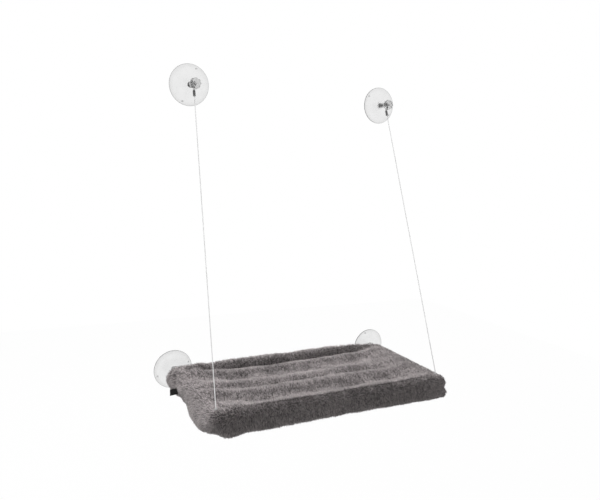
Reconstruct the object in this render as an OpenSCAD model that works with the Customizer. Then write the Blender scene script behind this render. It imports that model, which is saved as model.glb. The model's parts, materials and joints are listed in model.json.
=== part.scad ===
// Cat perch for a window: a plush bed on a tube frame. Its back corners rest in two hooks on
// suction cups, and two steel cables hold its front corners from two more cups above.
// +Z is up, +X runs along the window, and +Y points into the glass.
// The glass is the plane Y = 0, and the origin is on it, midway between the two lower cups.

/* [Window] */
// Height of the upper cups above the lower cups
cup_rise = 600; // [450:5:700]
// Distance between the two upper cups
upper_spacing = 472; // [400:1:500]
// Diameter of a suction cup
cup_d = 84; // [76:1:92]
// Height of a cup's boss above the glass
cup_h = 11; // [10:0.5:11.5]
// Diameter of a cup's boss
boss_d = 19; // [17:0.5:22]
// Thickness of a cup's rim
rim_t = 1.6; // [1.2:0.1:2.5]
// Diameter of the threaded studs
stud_d = 5; // [4:0.5:5.5]

/* [Cables] */
// Diameter of a sheathed steel cable
cable_d = 1.8; // [1.4:0.1:2]
// Distance from the glass to the cable's upper loop
loop_out = 32; // [28:0.5:38]
// Diameter of the screw knobs that hold the loops
knob_d = 23; // [20:0.5:26]
// Thickness of the screw knobs
knob_t = 11.5; // [9:0.5:14]
// Length of the crimped ferrule below the loop
ferrule_len = 11; // [8:0.5:14]
// Length of the stop sleeve on the cable's lower end
stop_len = 9; // [6:0.5:10]

/* [Frame] */
// Distance between the axes of the side rails, and between the lower cups
rail_spacing = 512; // [440:1:560]
// Distance from the rear rail's axis to the front rail's axis
frame_depth = 226; // [200:1:300]
// Distance from the glass to the rear rail's axis
hinge_out = 40; // [39.5:0.5:42]
// Depth of the rail axes below the centres of the lower cups
hinge_drop = 3; // [2:0.5:4]
// Outer diameter of the rails
rail_d = 16; // [14:0.5:17]
// Wall of the rails
rail_wall = 1.2; // [1:0.1:2]
// Wall of the corner fittings
elbow_wall = 2.9; // [2.5:0.1:3.2]
// Length of a corner fitting's arm from the corner
elbow_arm = 40; // [34:1:50]
// Width of a hook
hook_w = 12; // [10:0.5:13]
// Thickness of a hook
hook_t = 2.6; // [2:0.1:2.8]

/* [Bed] */
// How far the cover stands out beyond the side rails' axes
side_over = 20; // [18:0.5:24]
// How far the cover stands out behind the rear rail's axis
rear_over = 19; // [18.5:0.5:19.5]
// How far the cover stands out in front of the front rail's axis
front_over = 20; // [19:0.5:28]
// Height of the cover's ridges above the rail axes
top_over = 18; // [17.5:0.5:22]
// Thickness of the bed from the ridges to the underside
bed_t = 47; // [42:0.5:60]
// Depth of the sunken bed below its ridges
sag = 21; // [10:0.5:22]
// Height of the lengthwise folds in the sunken bed
fold_h = 4.5; // [0:0.5:6]
// Number of lengthwise folds
fold_count = 3; // [2:1:5]
// Thickness of the bottom panel
panel_t = 3; // [2:0.5:4]
// Outer diameter of the foam sleeves on the rails
foam_d = 28; // [24:0.5:29]
// Thickness of the foam pad
pad_t = 15; // [8:0.5:15.5]
// Length of the hook-and-loop closure
tape_len = 360; // [200:10:400]
// Width of the hook-and-loop closure
tape_w = 18; // [12:1:18]
// Width of the blank woven tag
tag_w = 13; // [8:1:20]

/* [Hidden] */
$fn = 48;
// small gap between pieces that don't move
gap = 0.3;
// slip fit between a socket and its rail
slip = 0.1;
// radial clearance where a knob or a nut turns on its stud
turn_fit = 0.05;
// overrun of the cuts
over = 1;

// places shared by several pieces
hinge_y = -hinge_out;
hinge_z = -hinge_drop;
front_y = hinge_y - frame_depth;
rail_x = rail_spacing / 2;
upper_x = upper_spacing / 2;
rail_r = rail_d / 2;
cable_r = cable_d / 2;
stud_r = stud_d / 2;

// suction cup
cup_r = cup_d / 2;
boss_r = boss_d / 2;
seal_w = 9;
dome_in = 3.4;
skin = 2.2;
nib_d = 3.2;
nib_h = 1.1;
nib_r = cup_r - seal_w / 2 - nib_d / 2;
stud_head_r = 6;
stud_head_t = 1.8;
stud_head_at = dome_in + skin;

// hook, its nut and the stud that carries them
nut_t = 4.2;
nut_r = 8;
stud_tip = 0.5;
elbow_r = rail_r + slip + elbow_wall;
hook_in = elbow_r + gap;
hook_out = hook_in + hook_t;
hook_space = hook_out + 2 * gap;
hook_front_a = asin((elbow_r + gap / 2) / hook_in) - 180;
hook_back_a = -4;
neck_t = 4;
neck_sink = 1;
neck_low = hook_out + neck_t - neck_sink;
fold_up = 75;
fold_spare = 3;
plate_top = 9;
trunnion_spare = 1;
trunnion = hook_w / 2 + trunnion_spare;
slot_spare = 5;
slot_w = hook_w + slot_spare;
slot_up_a = fold_up + fold_spare - asin((neck_low - neck_t) / rear_over);
lower_stud_len = cup_h + hook_t + gap / 2 + nut_t + stud_tip;

// upper anchor: spacer, washer, cable loop and knob on a longer stud
washer_t = 1;
washer_r = 6.4;
spacer_r = 5.6;
spacer_end = loop_out - cable_r - washer_t;
knob_back = loop_out + cable_r + gap / 2;
knob_r = knob_d / 2;
knob_round = 2.2;
lobes = 8;
lobe_r = 3;
dimple_r = 5.5;
dimple_t = 1.5;
upper_stud_len = knob_back + knob_t - dimple_t - stud_tip;

// the cable's line from under the knob to the front corner
loop_r = stud_r + cable_r + gap;
strand = cable_r + gap / 4;
bend_spare = 0.5;
bend_down = knob_r + bend_spare;
ferrule_gap = 2;
ferrule_in = 2 * strand + slip;
ferrule_wall = 0.6;
ferrule_r = ferrule_in + ferrule_wall;
stop_r = 2.6;
cable_tail = 1.5;

// corner fittings
socket_r = rail_r + slip;
socket_stop = 12;
screw_r = 2;
screw_in = 14;
screw_at = socket_stop + screw_in;
stop_hole_r = cable_r + gap;

// cover
half_w = rail_x + side_over;
rear_y = hinge_y + rear_over;
nose_y = front_y - front_over;
ridge_z = hinge_z + top_over;
under_z = ridge_z - bed_t;
low_z = under_z + panel_t;
edge_top = 18;
edge_low = 14;
corner_rear = 28;
corner_front = 20;
side_slope = 53;
side_ridge = 22;
ring_count = 8;
ring_ease = 2.2;
top_count = 18;
foam_r = foam_d / 2;
foam_gap = 1;
pad_gap = 2;
pad_round = 20;
tape_t = 1;
eyelet_r = 4.5;
eyelet_barrel = 3;
eyelet_hole = 2.5;
eyelet_t = 0.8;
eyelet_len = 3.4;
tag_t = 0.8;
tag_out = 12;
tag_in = 4;
tag_y = -88;
tag_z = -14.5;

// share of the bed's depth at which the rear ridge, its foot, the front foot and ridge lie
ridge_shares = [0.105, 0.165, 0.80, 0.895];
// [share of the depth from the back, share of the height] up the back and down the front
back_shares = [[0.035, 0], [0.008, 0.12], [0, 0.35], [0, 0.6], [0.01, 0.8], [0.035, 0.95]];
nose_shares = [[0.935, 0.97], [0.97, 0.86], [0.992, 0.66], [1, 0.45], [0.992, 0.22],
               [0.965, 0.06], [0.93, 0]];
under_shares = [0.7, 0.5, 0.25];

// vectors
function unit(v) = v / norm(v);

// a value that eases from 0 at a to 1 at b
function ease(v, a, b) = let (t = min(1, max(0, (v - a) / (b - a)))) t * t * (3 - 2 * t);

// how far an edge of radius r has drawn in, d past its start
function drawn_in(d, r) = d <= 0 ? 0 : r - sqrt(r * r - min(d, r) * min(d, r));

// a round tube swept along a path, as a closed mesh
function path_dir(p, i) =
    i == 0 ? unit(p[1] - p[0])
    : i == len(p) - 1 ? unit(p[i] - p[i - 1])
    : unit(unit(p[i + 1] - p[i]) + unit(p[i] - p[i - 1]));

module swept(path, r, sides) {
    rings = [for (i = [0 : len(path) - 1])
        let (t = path_dir(path, i), u = unit(cross(t, [0, 1, 0])), v = cross(t, u))
        for (k = [0 : sides - 1]) path[i] + r * (cos(360 * k / sides) * u + sin(360 * k / sides) * v)];
    closed_loft(rings, len(path), sides);
}

// middle of a run of points
function middle(points, first, count) =
    [for (k = [first : first + count - 1]) 1] * [for (k = [first : first + count - 1]) points[k]] / count;

// a solid between equal rings of points, closed by a fan at each end
module closed_loft(points, rings, sides) {
    last = (rings - 1) * sides;
    total = rings * sides;
    walls = [for (i = [0 : rings - 2]) for (k = [0 : sides - 1])
        let (a = i * sides + k, b = i * sides + (k + 1) % sides)
        each [[a, b + sides, b], [a, a + sides, b + sides]]];
    start = [for (k = [0 : sides - 1]) [total, k, (k + 1) % sides]];
    end = [for (k = [0 : sides - 1]) [total + 1, last + (k + 1) % sides, last + k]];
    polyhedron(concat(points, [middle(points, 0, sides), middle(points, last, sides)]),
               concat(walls, start, end), convexity = 6);
}

// turns a piece that stands on +Z so that it stands out from the glass, towards -Y
module off_glass(x, z) {
    translate([x, 0, z]) rotate([90, 0, 0]) children();
}

// turns a piece that stands on +Z along the direction d from the point p
module along(p, d) {
    translate(p) rotate([0, acos(d[2] / norm(d)), atan2(d[1], d[0])]) children();
}

// a rod along X between two places
module rod_x(x0, x1, y, z, r) {
    translate([x0, y, z]) rotate([0, 90, 0]) cylinder(h = x1 - x0, r = r);
}

// a rod along Y between two places
module rod_y(y0, y1, x, z, r) {
    translate([x, y1, z]) rotate([90, 0, 0]) cylinder(h = y1 - y0, r = r);
}

// pressed suction cup with a sealing face, a boss round the stud's head and two nibs
module suction_cup(x, z, turn) {
    color([0.92, 0.93, 0.93, 0.5])
    off_glass(x, z) difference() {
        union() {
            rotate_extrude($fn = 96) polygon([
                [0, dome_in], [cup_r / 3, dome_in * 0.9], [cup_r * 0.6, dome_in / 2],
                [cup_r - seal_w, 0], [cup_r - rim_t / 4, 0], [cup_r, rim_t / 3],
                [cup_r, rim_t * 0.7], [cup_r - rim_t / 3, rim_t], [cup_r - seal_w, skin + rim_t / 4],
                [cup_r * 0.6, dome_in / 2 + skin], [cup_r * 0.4, dome_in + skin],
                [boss_r + skin, dome_in + 1.8 * skin], [boss_r, cup_h * 0.9],
                [boss_r - skin / 4, cup_h], [0, cup_h]]);
            for (a = [turn, turn + 180]) rotate([0, 0, a]) translate([nib_r, 0, rim_t / 2])
                cylinder(h = rim_t / 2 + nib_h, r = nib_d / 2, $fn = 24);
        }
        translate([0, 0, stud_head_at - gap / 2])
            cylinder(h = stud_head_t + gap, r = stud_head_r + gap / 2);
        translate([0, 0, stud_head_at]) cylinder(h = cup_h, r = stud_r + turn_fit);
    }
}

// stud with a flat head moulded into the cup
module stud(x, z, reach) {
    color([0.62, 0.62, 0.64])
    off_glass(x, z) translate([0, 0, stud_head_at]) {
        cylinder(h = stud_head_t, r = stud_head_r);
        cylinder(h = reach - stud_head_at, r = stud_r);
    }
}

// clear spacer that holds the cable off the cup
module spacer(x) {
    color([0.85, 0.87, 0.88, 0.6])
    off_glass(x, cup_rise) translate([0, 0, cup_h]) difference() {
        union() {
            cylinder(h = spacer_end - cup_h, r = spacer_r);
            cylinder(h = washer_t, r = washer_r);
        }
        translate([0, 0, -over]) cylinder(h = spacer_end, r = stud_r + turn_fit);
    }
}

module washer(x) {
    color([0.7, 0.7, 0.72])
    off_glass(x, cup_rise) translate([0, 0, spacer_end]) difference() {
        cylinder(h = washer_t, r = washer_r);
        translate([0, 0, -over]) cylinder(h = washer_t + 2 * over, r = stud_r + turn_fit);
    }
}

// lobed screw knob with a dimple where the stud's end shows
module knob(x) {
    color([0.85, 0.87, 0.88, 0.6])
    off_glass(x, cup_rise) translate([0, 0, knob_back]) difference() {
        rotate_extrude($fn = 64) polygon([
            [0, 0], [knob_r - knob_round, 0], [knob_r - knob_round / 4, knob_round / 3],
            [knob_r, knob_round], [knob_r, knob_t - knob_round * 1.5],
            [knob_r - knob_round / 3, knob_t - knob_round / 2], [knob_r - knob_round * 1.2, knob_t],
            [dimple_r + dimple_t, knob_t], [dimple_r, knob_t - dimple_t], [0, knob_t - dimple_t]]);
        translate([0, 0, -over]) cylinder(h = knob_t + 2 * over, r = stud_r + turn_fit);
        for (k = [0 : lobes - 1]) rotate([0, 0, 360 * (k + 0.5) / lobes])
            translate([knob_r + lobe_r * 0.62, 0, -over])
            cylinder(h = knob_t + 2 * over, r = lobe_r, $fn = 24);
    }
}

// where the cable leaves the loop, and where it crosses the front corner
function bend_at(side) = [side * upper_x, -loop_out, cup_rise - bend_down];
function corner_at(side) = [side * rail_x, front_y, hinge_z];
function fall(side) = unit(corner_at(side) - bend_at(side));

// steel cable: dead end, loop round the stud, then straight down to the front corner
module cable(side) {
    d = fall(side);
    top = [side * upper_x, -loop_out, cup_rise];
    low = bend_at(side) + (ferrule_gap + ferrule_len) * d;
    tip = corner_at(side) + (elbow_r + gap + stop_len + cable_tail) * d;
    off = [strand, 0, 0];
    round_stud = [for (a = [215 : -25 : -35]) top + loop_r * [cos(a), 0, sin(a)]];
    color([0.75, 0.75, 0.77])
    swept(concat(
        [low - off, bend_at(side) - off],
        round_stud,
        [bend_at(side) + off, low + off, low + ferrule_len * d, tip]),
        cable_r, 8);
}

// crimped ferrule round both strands
module ferrule(side) {
    color([0.35, 0.35, 0.37])
    along(bend_at(side) + ferrule_gap * fall(side), fall(side)) difference() {
        cylinder(h = ferrule_len, r = ferrule_r, $fn = 32);
        translate([0, 0, -over]) cylinder(h = ferrule_len + 2 * over, r = ferrule_in, $fn = 32);
    }
}

// sleeve crimped on the cable under the front corner
module stop_sleeve(side) {
    color([0.55, 0.55, 0.57])
    along(corner_at(side) + (elbow_r + gap) * fall(side), fall(side)) difference() {
        cylinder(h = stop_len, r = stop_r, $fn = 32);
        translate([0, 0, -over]) cylinder(h = stop_len + 2 * over, r = cable_r + turn_fit, $fn = 32);
    }
}

// hook that cradles the rear corner, drawn in the section across the rear rail
module hook_section() {
    wide = 2 * neck_low;
    difference() {
        union() {
            circle(r = hook_out);
            translate([0, -neck_low]) square([hinge_out - cup_h, neck_t]);
        }
        circle(r = hook_in);
        polygon([[0, 0], wide * [cos(hook_back_a), sin(hook_back_a)], [wide, wide],
                 [-wide, wide], [-wide, -wide], wide * [cos(hook_front_a), sin(hook_front_a)]]);
    }
    translate([hinge_out - cup_h - hook_t, -neck_low])
        square([hook_t, neck_low + hinge_drop + plate_top]);
}

module hook(side) {
    color([0.86, 0.87, 0.88, 0.8])
    difference() {
        translate([side * rail_x - hook_w / 2, hinge_y, hinge_z])
            rotate([90, 0, 90]) linear_extrude(hook_w) hook_section();
        off_glass(side * rail_x, 0) cylinder(h = cup_h + 2 * hook_t, r = stud_r + turn_fit);
    }
}

// thin knurled nut that clamps the hook to the cup
module nut(side) {
    color([0.66, 0.66, 0.68])
    off_glass(side * rail_x, 0) translate([0, 0, cup_h + hook_t + gap / 2]) difference() {
        cylinder(h = nut_t, r = nut_r, $fn = 64);
        translate([0, 0, -over]) cylinder(h = nut_t + 2 * over, r = stud_r + turn_fit);
        for (k = [0 : 2 * lobes - 1]) rotate([0, 0, 360 * k / (2 * lobes)])
            translate([nut_r + gap, 0, -over]) cylinder(h = nut_t + 2 * over, r = 4 * gap, $fn = 16);
    }
}

// tube between two places along X
module rail_along_x(y) {
    end = rail_x - socket_stop - gap;
    color([0.78, 0.78, 0.8])
    difference() {
        rod_x(-end, end, y, hinge_z, rail_r);
        rod_x(-end - over, end + over, y, hinge_z, rail_r - rail_wall);
        for (s = [-1, 1]) screw_dent([s * (rail_x - screw_at), y, hinge_z]);
    }
}

module rail_along_y(x) {
    color([0.78, 0.78, 0.8])
    difference() {
        rod_y(front_y + socket_stop + gap, hinge_y - socket_stop - gap, x, hinge_z, rail_r);
        rod_y(front_y, hinge_y, x, hinge_z, rail_r - rail_wall);
        for (y = [front_y + screw_at, hinge_y - screw_at]) screw_dent([x, y, hinge_z]);
    }
}

// dimple in a rail's underside under a grub screw
module screw_dent(at) {
    translate(at - [0, 0, rail_r + over]) cylinder(h = over + rail_wall / 2, r = screw_r + slip, $fn = 24);
}

// corner fitting: two sockets at a right angle, with a round corner
module elbow_solid(side, y, inward, spread) {
    r = elbow_r + spread;
    reach = elbow_arm + spread;
    x = side * rail_x;
    rod_x(side > 0 ? x - reach : x, side > 0 ? x : x + reach, y, hinge_z, r);
    rod_y(inward > 0 ? y : y - reach, inward > 0 ? y + reach : y, x, hinge_z, r);
    translate([x, y, hinge_z]) rotate([0, 0, side > 0 ? 0 : 180]) sphere(r = r);
}

module elbow_bores(side, y, inward) {
    x = side * rail_x;
    arm = elbow_arm + over;
    rod_x(side > 0 ? x - arm : x + socket_stop, side > 0 ? x - socket_stop : x + arm,
          y, hinge_z, socket_r);
    rod_y(inward > 0 ? y + socket_stop : y - arm, inward > 0 ? y + arm : y - socket_stop,
          x, hinge_z, socket_r);
    for (at = [[x - side * screw_at, y], [x, y + inward * screw_at]])
        translate([at[0], at[1], hinge_z - elbow_r - over])
        cylinder(h = elbow_r + over, r = screw_r + turn_fit, $fn = 24);
}

// rear corners carry on past the corner as a trunnion that turns in the hook
module corner_rear_fitting(side) {
    x = side * rail_x;
    color([0.2, 0.2, 0.21])
    difference() {
        union() {
            elbow_solid(side, hinge_y, -1, 0);
            rod_x(side > 0 ? x : x - trunnion, side > 0 ? x + trunnion : x, hinge_y, hinge_z, elbow_r);
        }
        elbow_bores(side, hinge_y, -1);
    }
}

// front corners are drilled for the cable
module corner_front_fitting(side) {
    color([0.2, 0.2, 0.21])
    difference() {
        elbow_solid(side, front_y, 1, 0);
        elbow_bores(side, front_y, 1);
        along(corner_at(side) - 2 * elbow_r * fall(side), fall(side))
            cylinder(h = 4 * elbow_r, r = stop_hole_r, $fn = 24);
    }
}

// grub screws that lock the rails in the corner fittings
module frame_screws() {
    length = elbow_wall + rail_wall / 4;
    color([0.5, 0.5, 0.52])
    for (s = [-1, 1]) for (at = [
        [s * (rail_x - screw_at), hinge_y], [s * rail_x, hinge_y - screw_at],
        [s * (rail_x - screw_at), front_y], [s * rail_x, front_y + screw_at]])
        translate([at[0], at[1], hinge_z - elbow_r]) difference() {
            cylinder(h = length, r = screw_r, $fn = 24);
            translate([0, 0, -over]) cylinder(h = over + length / 2, r = screw_r / 2, $fn = 6);
        }
}

// foam sleeves on the rails, between the corner fittings
module foam_along_x(y) {
    end = rail_x - elbow_arm - foam_gap;
    color([0.9, 0.88, 0.82])
    difference() {
        rod_x(-end, end, y, hinge_z, foam_r);
        rod_x(-end - over, end + over, y, hinge_z, rail_r + slip);
    }
}

module foam_along_y(x) {
    y0 = front_y + elbow_arm + foam_gap;
    y1 = hinge_y - elbow_arm - foam_gap;
    color([0.9, 0.88, 0.82])
    difference() {
        rod_y(y0, y1, x, hinge_z, foam_r);
        rod_y(y0 - over, y1 + over, x, hinge_z, rail_r + slip);
    }
}

// rounded rectangle between two corners
module round_rect(x0, y0, x1, y1, r) {
    hull() for (x = [x0 + r, x1 - r]) for (y = [y0 + r, y1 - r])
        translate([x, y]) circle(r = r, $fn = 32);
}

// foam pad inside the frame, and its room in the cover
pad_x = rail_x - foam_r - pad_gap;
pad_y0 = front_y + foam_r + pad_gap;
pad_y1 = hinge_y - foam_r - pad_gap;

module foam_pad() {
    color([0.93, 0.91, 0.84])
    translate([0, 0, low_z]) linear_extrude(pad_t) round_rect(-pad_x, pad_y0, pad_x, pad_y1, pad_round);
}

module pad_room() {
    translate([-pad_x - gap, pad_y0 - gap, low_z - over])
        cube([2 * (pad_x + gap), pad_y1 - pad_y0 + 2 * gap, pad_t + gap + over]);
}

// the cover's section at a place along X, as a closed ring of points
function section(x) =
    let (s = abs(x),
         y0 = rear_y - drawn_in(s - half_w + corner_rear, corner_rear),
         y1 = nose_y + drawn_in(s - half_w + corner_front, corner_front),
         z0 = low_z + drawn_in(s - half_w + edge_low, edge_low),
         z1 = ridge_z - drawn_in(s - half_w + edge_top, edge_top),
         open = 1 - ease(s, half_w - side_ridge - side_slope, half_w - side_ridge))
    concat(
        [for (p = back_shares) [x, y0 + (y1 - y0) * p[0], z0 + (z1 - z0) * p[1]]],
        [for (k = [0 : top_count])
            let (a = ridge_shares[0] + (ridge_shares[3] - ridge_shares[0]) * k / top_count)
            [x, y0 + (y1 - y0) * a, z1 - open * hollow(a)]],
        [for (p = nose_shares) [x, y0 + (y1 - y0) * p[0], z0 + (z1 - z0) * p[1]]],
        [for (a = under_shares) [x, y0 + (y1 - y0) * a, z0]]);

// depth of the sunken bed below the ridges, with its lengthwise folds
function hollow(a) =
    let (tray = ease(a, ridge_shares[0], ridge_shares[1])
                * (1 - ease(a, ridge_shares[2], ridge_shares[3])),
         t = min(1, max(0, (a - ridge_shares[1]) / (ridge_shares[2] - ridge_shares[1]))))
    tray * sag - fold_h * (1 - cos(360 * fold_count * t)) / 2;

module cover_form() {
    xs = concat(
        [for (k = [0 : ring_count]) -half_w + half_w * pow(k / ring_count, ring_ease)],
        [for (k = [ring_count - 1 : -1 : 0]) half_w - half_w * pow(k / ring_count, ring_ease)]);
    closed_loft([for (x = xs) each section(x)], len(xs), len(section(0)));
}

// room for the frame, the foam sleeves and the hooks inside the cover, drawn with few sides
module frame_room() {
    $fn = 12;
    grow = 1 / cos(180 / $fn);
    foam_room = (foam_r + gap) * grow;
    elbow_room = (elbow_r + gap) * grow;
    for (y = [hinge_y, front_y]) rod_x(-rail_x, rail_x, y, hinge_z, foam_room);
    for (s = [-1, 1]) {
        x = s * rail_x;
        rod_y(front_y, hinge_y, x, hinge_z, foam_room);
        for (y = [hinge_y, front_y]) translate([x, y, hinge_z]) sphere(r = elbow_room * grow);
        rod_x(x - trunnion - gap, x + trunnion + gap, hinge_y, hinge_z, hook_space * grow);
        along(corner_at(s), fall(s))
            cylinder(h = elbow_r + stop_len + 2 * cable_tail, r = (stop_r + gap) * grow);
    }
}

// slot in the back of the cover that the hook's neck passes through while the bed folds up
module hook_slot(side) {
    far = 3 * rear_over;
    translate([side * rail_x - slot_w / 2, hinge_y, hinge_z]) rotate([90, 0, 90])
        linear_extrude(slot_w) polygon([
            [0, 0], [0, -neck_low - gap], [far, -neck_low - gap], [far, 0],
            far * [cos(slot_up_a), sin(slot_up_a)]]);
}

function eyelet_at(side) =
    let (d = fall(side), t = (ridge_z - hinge_z) / d[2]) corner_at(side) + t * d;

// closure along the back of the underside: a tape on the panel and one on the cover
module tape_strip(level) {
    translate([-tape_len / 2, pad_y1 + pad_gap, low_z + level * tape_t])
        cube([tape_len, tape_w, tape_t]);
}

module tape_room() {
    translate([-tape_len / 2 - gap, pad_y1 + pad_gap - gap, low_z - over])
        cube([tape_len + 2 * gap, tape_w + 2 * gap, over + 2 * tape_t]);
}

module cover_top() {
    color([0.47, 0.44, 0.44])
    difference() {
        cover_form();
        frame_room();
        pad_room();
        tape_room();
        for (s = [-1, 1]) {
            hook_slot(s);
            translate(eyelet_at(s) - [0, 0, top_over - elbow_r / 2])
                cylinder(h = top_over + over, r = eyelet_barrel + 2 * gap, $fn = 12);
        }
        tag_slot();
    }
}

module cover_bottom() {
    x = half_w - edge_low - panel_t;
    color([0.33, 0.32, 0.33])
    translate([0, 0, under_z]) linear_extrude(panel_t)
        round_rect(-x, front_y + panel_t, x, hinge_y + rear_over / 2, corner_rear);
}

module closure_loop_tape() {
    color([0.12, 0.12, 0.13]) tape_strip(1);
}

module closure_hook_tape() {
    color([0.15, 0.15, 0.16]) tape_strip(0);
}

// metal eyelet in the cover where the cable goes in
module eyelet(side) {
    color([0.72, 0.72, 0.74])
    translate(eyelet_at(side) + [0, 0, turn_fit]) difference() {
        union() {
            cylinder(h = eyelet_t, r = eyelet_r);
            translate([0, 0, -eyelet_len]) cylinder(h = eyelet_len + eyelet_t, r = eyelet_barrel);
        }
        translate([0, 0, -eyelet_len - over]) cylinder(h = eyelet_len + 3 * over, r = eyelet_hole);
    }
}

// blank woven tag sewn upright into the left side
module tag_slot() {
    translate([-half_w - over, tag_y - tag_t / 2 - gap, tag_z - tag_w / 2 - gap])
        cube([tag_in + over + gap, tag_t + 2 * gap, tag_w + 2 * gap]);
}

module label_tag() {
    color([0.06, 0.06, 0.07])
    translate([-half_w - tag_out, tag_y - tag_t / 2, tag_z - tag_w / 2])
        cube([tag_out + tag_in, tag_t, tag_w]);
}

suction_cup(-upper_x, cup_rise, 62);  // cup_upper_left
suction_cup(upper_x, cup_rise, 147);  // cup_upper_right
suction_cup(-rail_x, 0, 20);  // cup_lower_left
suction_cup(rail_x, 0, 110);  // cup_lower_right
stud(-upper_x, cup_rise, upper_stud_len);  // stud_upper_left
stud(upper_x, cup_rise, upper_stud_len);  // stud_upper_right
stud(-rail_x, 0, lower_stud_len);  // stud_lower_left
stud(rail_x, 0, lower_stud_len);  // stud_lower_right
spacer(-upper_x);  // spacer_left
spacer(upper_x);  // spacer_right
washer(-upper_x);  // washer_left
washer(upper_x);  // washer_right
knob(-upper_x);  // knob_left
knob(upper_x);  // knob_right
cable(-1);  // cable_left
cable(1);  // cable_right
ferrule(-1);  // ferrule_left
ferrule(1);  // ferrule_right
stop_sleeve(-1);  // stop_sleeve_left
stop_sleeve(1);  // stop_sleeve_right
hook(-1);  // hook_left
hook(1);  // hook_right
nut(-1);  // nut_left
nut(1);  // nut_right
rail_along_x(hinge_y);  // rear_rail
rail_along_x(front_y);  // front_rail
rail_along_y(-rail_x);  // side_rail_left
rail_along_y(rail_x);  // side_rail_right
corner_rear_fitting(-1);  // corner_rear_left
corner_rear_fitting(1);  // corner_rear_right
corner_front_fitting(-1);  // corner_front_left
corner_front_fitting(1);  // corner_front_right
frame_screws();
foam_along_x(hinge_y);  // foam_rear
foam_along_x(front_y);  // foam_front
foam_along_y(-rail_x);  // foam_left
foam_along_y(rail_x);  // foam_right
foam_pad();
cover_top();
cover_bottom();
closure_loop_tape();
closure_hook_tape();
eyelet(-1);  // eyelet_left
eyelet(1);  // eyelet_right
label_tag();
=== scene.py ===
"""Looks of a window cat perch: clear suction cups, steel cables and a plush bed.

Lengths are in metres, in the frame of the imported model: +Z up, +X along the window and +Y into the
glass.
"""

import json
import math

import bmesh
import bpy
import numpy as np
from mathutils import Matrix, Vector, noise

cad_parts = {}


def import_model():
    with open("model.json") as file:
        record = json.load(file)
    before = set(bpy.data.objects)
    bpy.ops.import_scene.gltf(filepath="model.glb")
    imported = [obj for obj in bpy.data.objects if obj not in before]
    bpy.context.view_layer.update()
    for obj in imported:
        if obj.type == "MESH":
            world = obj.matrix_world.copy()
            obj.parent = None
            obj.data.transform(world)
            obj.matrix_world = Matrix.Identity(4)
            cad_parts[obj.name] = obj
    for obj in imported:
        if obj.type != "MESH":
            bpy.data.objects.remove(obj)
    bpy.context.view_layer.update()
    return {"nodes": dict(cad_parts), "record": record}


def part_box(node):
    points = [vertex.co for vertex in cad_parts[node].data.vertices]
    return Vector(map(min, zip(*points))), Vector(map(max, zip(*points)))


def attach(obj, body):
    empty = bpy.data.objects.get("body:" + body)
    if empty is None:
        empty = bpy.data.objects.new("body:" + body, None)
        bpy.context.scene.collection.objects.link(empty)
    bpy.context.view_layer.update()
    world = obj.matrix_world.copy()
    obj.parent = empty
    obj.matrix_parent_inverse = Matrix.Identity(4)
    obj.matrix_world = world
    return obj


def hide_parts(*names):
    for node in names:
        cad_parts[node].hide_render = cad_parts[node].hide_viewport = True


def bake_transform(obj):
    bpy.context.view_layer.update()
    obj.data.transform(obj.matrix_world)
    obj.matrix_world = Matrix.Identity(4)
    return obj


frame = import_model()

MM = 0.001
SIDES = {"left": -1, "right": 1}

# the photograph's camera, found from the cups, the cables and the bed's corners
CAMERA_AT = Vector((-0.632, -1.221, 0.464))
CAMERA_YAW = math.radians(28.9)
CAMERA_PITCH = math.radians(8.6)
CAMERA_ROLL = math.radians(3.1)
SENSOR = 36
FOCAL_PIXELS = 603
PICTURE_PIXELS = 600
LENS = SENSOR * FOCAL_PIXELS / PICTURE_PIXELS


def camera():
    """Places the camera where the photograph's stood."""
    yaw, pitch, roll = CAMERA_YAW, CAMERA_PITCH, CAMERA_ROLL
    ahead = Vector((math.sin(yaw) * math.cos(pitch), math.cos(yaw) * math.cos(pitch),
                    -math.sin(pitch)))
    level = Vector((math.cos(yaw), -math.sin(yaw), 0))
    above = level.cross(ahead)
    right = math.cos(roll) * level + math.sin(roll) * above
    up = math.cos(roll) * above - math.sin(roll) * level
    data = bpy.data.cameras.new("camera")
    data.sensor_fit = "HORIZONTAL"
    data.sensor_width = SENSOR
    data.lens = LENS
    eye = bpy.data.objects.new("camera", data)
    turn = Matrix((right, up, -ahead)).transposed().to_4x4()
    eye.matrix_world = Matrix.Translation(CAMERA_AT) @ turn
    bpy.context.scene.collection.objects.link(eye)
    bpy.context.scene.camera = eye


# materials


class Signal:
    """A socket in a material. Python's operators on it add Math nodes."""

    def __init__(self, shading, socket):
        self.shading = shading
        self.socket = socket

    def math(self, operation, first, second):
        return self.shading.node("ShaderNodeMath", {"operation": operation}, {0: first, 1: second})

    def __add__(self, other):
        return self.math("ADD", self, other)

    def __mul__(self, other):
        return self.math("MULTIPLY", self, other)

    def __rsub__(self, other):
        return self.math("SUBTRACT", other, self)

    def or_more(self, other):
        return self.math("MAXIMUM", self, other)


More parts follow.
